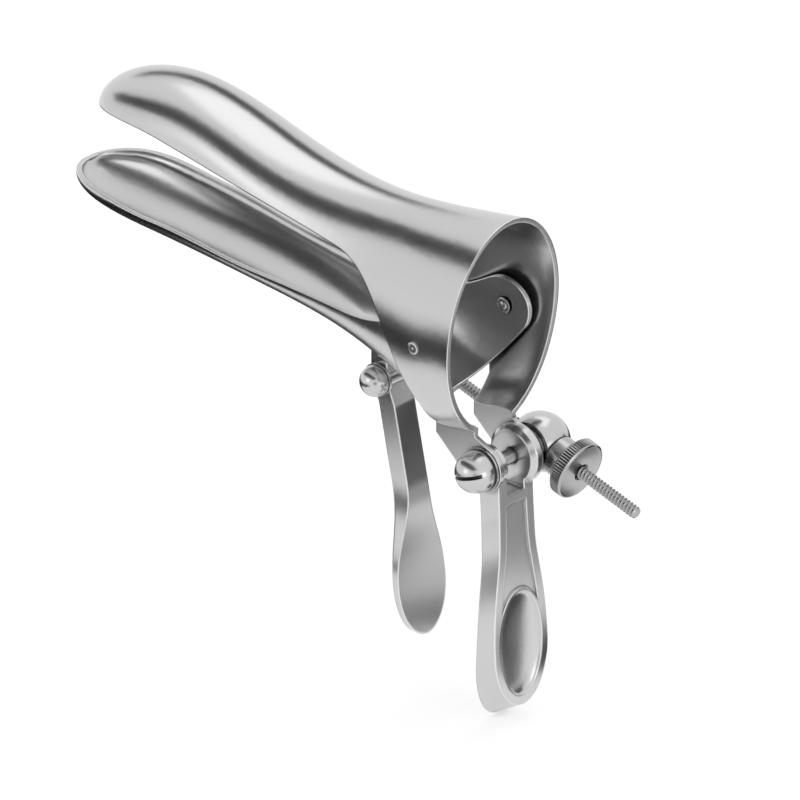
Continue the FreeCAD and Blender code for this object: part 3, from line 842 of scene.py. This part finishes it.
@dataclass
class PivotRivets:
    """The two pivot rivets, each with a domed and ringed inner head and a ringed outer head.

    Attributes:
        material: Their steel.
        shank_radius: Radius of the shank, in metres.
        neck: Step from the shank out to the inner head's underside, in metres.
        inner_height: Height of the inner head, in metres.
        inner_radius: Radius of the inner head, in metres.
        dome_height: Height of its dome, as a share of the head's.
        dome_radius: Radius of its dome, as a share of the head's.
        steps: Faces round a rivet.
    """

    DOME_ANGLES = (10, 30, 50, 70, 90)

    # Distance between two rings of points that share one place on the rivet.
    HAIR = 0.01 * MM

    # Rings of the inner head: distance from its top and radius, as shares of its height and radius.
    INNER_RINGS = ((0.75, 0.6), (0.75, 0.68), (0.4, 0.74), (0.4, 0.93), (0.5, 1.0), (0.8, 1.0))

    # Rings of the outer head: depth under its top in millimetres, and share of its radius.
    OUTER_RINGS = (
        (0.75, 1.0),
        (0.3, 1.0),
        (0.12, 0.93),
        (0.0, 0.8),
        (0.05, 0.62),
        (0.4, 0.55),
        (0.4, 0.3),
        (0.12, 0.22),
        (0.05, 0.08),
    )

    material: bpy.types.Material
    shank_radius: float = 1.2 * MM
    neck: float = 0.2 * MM
    inner_height: float = 0.7 * MM
    inner_radius: float = 2.05 * MM
    dome_height: float = 0.7
    dome_radius: float = 0.58
    steps: int = 56

    def build(self) -> list[bpy.types.Object]:
        """Make both rivets in place of the CAD rivets.

        Returns:
            The near and the far rivet.
        """
        rivets = []
        for name, outward in (("near", -1.0), ("far", 1.0)):
            node = f"pivot_rivet_{name}"
            low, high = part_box(node)
            radius = (high.z - low.z) / 2
            length = high.y - low.y
            inner_y = high.y if outward < 0 else low.y
            axis = Axis(Vector((0.0, inner_y, 0.0)), Vector((0.0, outward, 0.0)))
            rivet = lathe(f"rivet_{name}", axis, self._profile(length, radius), self.steps, False)
            finish_piece(rivet, self.material, "frame")
            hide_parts(node)
            rivets.append(rivet)
        return rivets

    def _profile(self, length: float, radius: float) -> Outline:
        """Outline of a rivet from its inner head to its ringed outer head.

        Args:
            length: Length over both heads.
            radius: Radius of the outer head.

        Returns:
            Pairs of distance and radius.
        """
        rise = self.inner_height
        rim = self.inner_radius
        dome = []
        for degrees in self.DOME_ANGLES:
            angle = math.radians(degrees)
            height = rise * self.dome_height * (1 - math.cos(angle))
            dome.append((height, rim * self.dome_radius * math.sin(angle)))
        inner_rings = [(rise * height, rim * share) for height, share in self.INNER_RINGS]
        outer_rings = [(length - depth * MM, radius * share) for depth, share in self.OUTER_RINGS]
        seat, _head_radius = outer_rings[0]
        underside = [(rise, self.shank_radius + self.neck), (rise + self.HAIR, self.shank_radius)]
        return dome + inner_rings + underside + [(seat, self.shank_radius)] + outer_rings


@dataclass(frozen=True)
class Panel:
    """A card or lamp that hangs round the object and faces it.

    Attributes:
        label: Its name.
        azimuth: Direction from the object, in degrees from +X towards +Y.
        elevation: Height above the horizon, in degrees.
        distance: Distance from the object, in metres.
        width: Size across, in metres.
        height: Size upward, in metres.
        strength: Grey of a card, or brightness of a lamp's face.
    """

    label: str
    azimuth: float
    elevation: float
    distance: float
    width: float
    height: float
    strength: float

    def place(self) -> Vector:
        """Find its centre.

        Returns:
            The centre in metres.
        """
        azimuth = math.radians(self.azimuth)
        elevation = math.radians(self.elevation)
        level = math.cos(elevation) * self.distance
        rise = self.distance * math.sin(elevation)
        return Vector((level * math.cos(azimuth), level * math.sin(azimuth), rise))

    def turn(self) -> Quaternion:
        """Find the turn that points its -Z at the object, with its height along its Y."""
        return (-self.place()).to_track_quat("-Z", "Y")


LAMPS = (
    Panel("lamp_above", azimuth=125.0, elevation=72.0, distance=1.3, width=1.1, height=1.1, strength=0.58),
    Panel("lamp_left", azimuth=-108.0, elevation=14.0, distance=1.1, width=0.5, height=0.35, strength=0.85),
    Panel("lamp_right", azimuth=-8.0, elevation=4.0, distance=0.9, width=0.45, height=0.3, strength=0.95),
)
STANDING_CARDS = (
    Panel("card_view", azimuth=-52.0, elevation=0.0, distance=0.7, width=0.2, height=0.26, strength=0.2),
    Panel("card_lever", azimuth=50.0, elevation=-9.0, distance=0.42, width=0.24, height=0.2, strength=0.05),
)


@dataclass(frozen=True)
class FlatCard:
    """A level card.

    Attributes:
        label: Its name.
        place: X and Y of its centre, in metres.
        turn: Turn about Z, in degrees.
        depth: Half its size along its own X, in metres.
        width: Half its size along its own Y, in metres.
        height: Height over the floor, in metres.
        grey: Linear reflectance.
    """

    label: str
    place: tuple[float, float]
    turn: float
    depth: float
    width: float
    height: float
    grey: float


FLAT_CARDS = (
    FlatCard("card_above", (-1.1, -0.69), turn=-12.0, depth=1.9, width=0.38, height=0.9, grey=0.05),
    FlatCard("card_behind", (-0.13, 0.145), turn=132.0, depth=0.12, width=0.3, height=0.001, grey=0.06),
    FlatCard("card_collar", (-0.195, -0.142), turn=216.0, depth=0.095, width=0.22, height=0.001, grey=0.01),
    FlatCard("card_front", (0.107, 0.096), turn=42.0, depth=0.04, width=0.045, height=0.001, grey=0.5),
    FlatCard("card_lever_floor", (0.24, 0.215), turn=42.0, depth=0.11, width=0.09, height=0.001, grey=0.03),
    FlatCard("card_bowl", (0.038, 0.041), turn=50.0, depth=0.015, width=0.02, height=0.001, grey=0.03),
    FlatCard("card_blades", (-0.107, 0.032), turn=0.0, depth=0.055, width=0.012, height=0.158, grey=0.06),
)


@dataclass
class Studio:
    """Pale floor, plain soft light and dark cards that only reflections see.

    Attributes:
        floor_half: Half the floor's side, in metres.
        floor_gap: Gap under the object's lowest point, in metres.
    """

    # Where a noise is darkest and where it is lightest.
    NOISE_REACH = (0.3, 0.7)

    PAPER_TONES = (0.84, 0.86)
    FIBRES_PER_METRE = 60.0
    THREADS_PER_METRE = 300.0

    # Darkest and lightest thread of a card's cloth, as shares of its grey.
    CLOTH_TONES = (0.9, 1.1)

    # Brightness that lifts the floor to white where it is seen or mirrored.
    FLOOR_GLOW = 0.52

    # Brightness of the surroundings: as a light, and where they are seen or mirrored.
    SKY_LEVELS = (0.55, 1.0)

    floor_half: float = 1.6
    floor_gap: float = 0.2 * MM

    def build(self) -> list[bpy.types.Object]:
        """Make the floor, the world, the lamps and the cards.

        Returns:
            The floor, the lamps and the cards.
        """
        low, _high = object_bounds()
        floor_z = low.z - self.floor_gap
        pieces = [self._floor(floor_z)]
        self._world()
        pieces += [self._lamp(lamp) for lamp in LAMPS]
        for card in STANDING_CARDS:
            half = (card.width / 2, card.height / 2)
            pieces.append(self._card(card.label, card.place(), card.turn(), half, card.strength))
        for card in FLAT_CARDS:
            turn = Quaternion((0.0, 0.0, 1.0), math.radians(card.turn))
            place = Vector((*card.place, floor_z + card.height))
            pieces.append(self._card(card.label, place, turn, (card.depth, card.width), card.grey))
        return pieces

    def _floor(self, height: float) -> bpy.types.Object:
        """Lay the floor.

        Args:
            height: Its z in metres.

        Returns:
            The floor.
        """
        half = (self.floor_half, self.floor_half)
        floor = flat_sheet("floor", Vector((0.0, 0.0, height)), Quaternion(), half)
        material = bpy.data.materials.new("floor_paper")
        material.use_nodes = True
        graph = NodeGraph(material.node_tree)
        place = graph.add("ShaderNodeTexCoord").outputs["Object"]
        fibre = graph.add("ShaderNodeTexNoise", {
            "Vector": place,
            "Scale": self.FIBRES_PER_METRE,
            "Detail": 3.0,
        })
        tone = graph.fit(fibre.outputs["Fac"], self.NOISE_REACH, self.PAPER_TONES)
        paper = graph.add("ShaderNodeBsdfDiffuse", {"Color": tone})
        lift = graph.fit(seen_or_mirrored(graph), (0.0, 1.0), (0.0, self.FLOOR_GLOW))
        glow = graph.add("ShaderNodeEmission", {"Color": WHITE, "Strength": lift})
        both = graph.add("ShaderNodeAddShader", {0: paper.outputs["BSDF"], 1: glow.outputs["Emission"]})
        graph.add("ShaderNodeOutputMaterial", {"Surface": both.outputs["Shader"]})
        floor.data.materials.append(material)
        floor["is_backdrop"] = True
        return floor

    def _world(self) -> None:
        """Make the pale surroundings: white where seen, softer as a light."""
        world = bpy.data.worlds.new("studio")
        bpy.context.scene.world = world
        world.use_nodes = True
        graph = NodeGraph(world.node_tree)
        strength = graph.fit(seen_or_mirrored(graph), (0.0, 1.0), self.SKY_LEVELS)
        sky = graph.add("ShaderNodeBackground", {"Color": WHITE, "Strength": strength})
        graph.add("ShaderNodeOutputWorld", {"Surface": sky.outputs["Background"]})

    def _lamp(self, panel: Panel) -> bpy.types.Object:
        """Hang a soft lamp that faces the object.

        Args:
            panel: Its place, size and brightness.

        Returns:
            The lamp.
        """
        light = bpy.data.lights.new(panel.label, "AREA")
        light.shape = "RECTANGLE"
        light.size = panel.width
        light.size_y = panel.height
        light.energy = panel.strength * math.pi * panel.width * panel.height
        lamp = bpy.data.objects.new(panel.label, light)
        bpy.context.scene.collection.objects.link(lamp)
        lamp.location = panel.place()
        lamp.rotation_mode = "QUATERNION"
        lamp.rotation_quaternion = panel.turn()
        return lamp

    def _card(self, name: str, place: Vector, turn: Quaternion, half: tuple[float, float],
              grey: float) -> bpy.types.Object:
        """Hang a grey card that only reflections see.

        Args:
            name: Name of the card.
            place: Its centre, in metres.
            turn: Its turn, with the card in its own XY plane.
            half: Half its width and half its height, in metres.
            grey: Linear reflectance of its cloth.

        Returns:
            The card.
        """
        card = flat_sheet(name, place, turn, half)
        material = bpy.data.materials.new(f"{name}_cloth")
        material.use_nodes = True
        graph = NodeGraph(material.node_tree)
        place_on = graph.add("ShaderNodeTexCoord").outputs["Object"]
        weave = graph.add("ShaderNodeTexNoise", {"Vector": place_on, "Scale": self.THREADS_PER_METRE})
        tones = (grey * self.CLOTH_TONES[0], grey * self.CLOTH_TONES[1])
        tone = graph.fit(weave.outputs["Fac"], self.NOISE_REACH, tones)
        cloth = graph.add("ShaderNodeBsdfDiffuse", {"Color": tone})
        graph.add("ShaderNodeOutputMaterial", {"Surface": cloth.outputs["BSDF"]})
        card.data.materials.append(material)
        card.visible_camera = False
        card.visible_diffuse = False
        card.visible_shadow = False
        card.visible_transmission = False
        card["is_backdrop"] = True
        return card


@dataclass
class Camera:
    """The near-parallel view of the photograph.

    Attributes:
        azimuth: Turn of the view about Z, in degrees.
        elevation: Height of the view above the horizon, in degrees.
        target: The point at the picture's centre, in metres.
        distance: Distance from the target, in metres.
        lens: Focal length in millimetres.
        sensor: Width of the sensor in millimetres.
        nearest: Where the view starts, in metres from the camera.
        furthest: Where the view ends, in metres from the camera.
    """

    azimuth: float = 42.0
    elevation: float = 25.4
    target: Vector = field(default_factory=lambda: Vector((-6.2, -16.0, -16.4)) * MM)
    distance: float = 8.464
    lens: float = 1600.0
    sensor: float = 36.0
    nearest: float = 0.05
    furthest: float = 60.0

    def build(self) -> list[bpy.types.Object]:
        """Make the camera and make it the scene's own.

        Returns:
            The camera.
        """
        azimuth = math.radians(self.azimuth)
        elevation = math.radians(self.elevation)
        back = Vector((
            math.sin(azimuth) * math.cos(elevation),
            -math.cos(azimuth) * math.cos(elevation),
            math.sin(elevation),
        ))
        data = bpy.data.cameras.new("view")
        data.lens = self.lens
        data.sensor_width = self.sensor
        data.clip_start = self.nearest
        data.clip_end = self.furthest
        camera = bpy.data.objects.new("view", data)
        bpy.context.scene.collection.objects.link(camera)
        camera.location = self.target + back * self.distance
        camera.rotation_mode = "QUATERNION"
        camera.rotation_quaternion = (-back).to_track_quat("-Z", "Y")
        bpy.context.scene.camera = camera
        return [camera]


def main() -> None:
    """Build the looks in order: camera, steel, fittings, studio."""
    logging.basicConfig(level=logging.INFO)
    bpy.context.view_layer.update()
    bpy.context.scene.view_settings.view_transform = "Standard"
    steels = {finish.label: SteelMaterial(finish).material for finish in FINISHES}
    assemblies: tuple[Assembly, ...] = (
        Camera(),
        Steelwork(steels),
        AdjustingRod(steels[ROD.label]),
        KnurledNut(steels[KNURL.label]),
        PivotRivets(steels[SCREW.label]),
        Studio(),
    )
    for assembly in assemblies:
        for piece in assembly.build():
            log.info("%s: %s", type(assembly).__name__, piece.name)


if __name__ == "__main__":
    main()
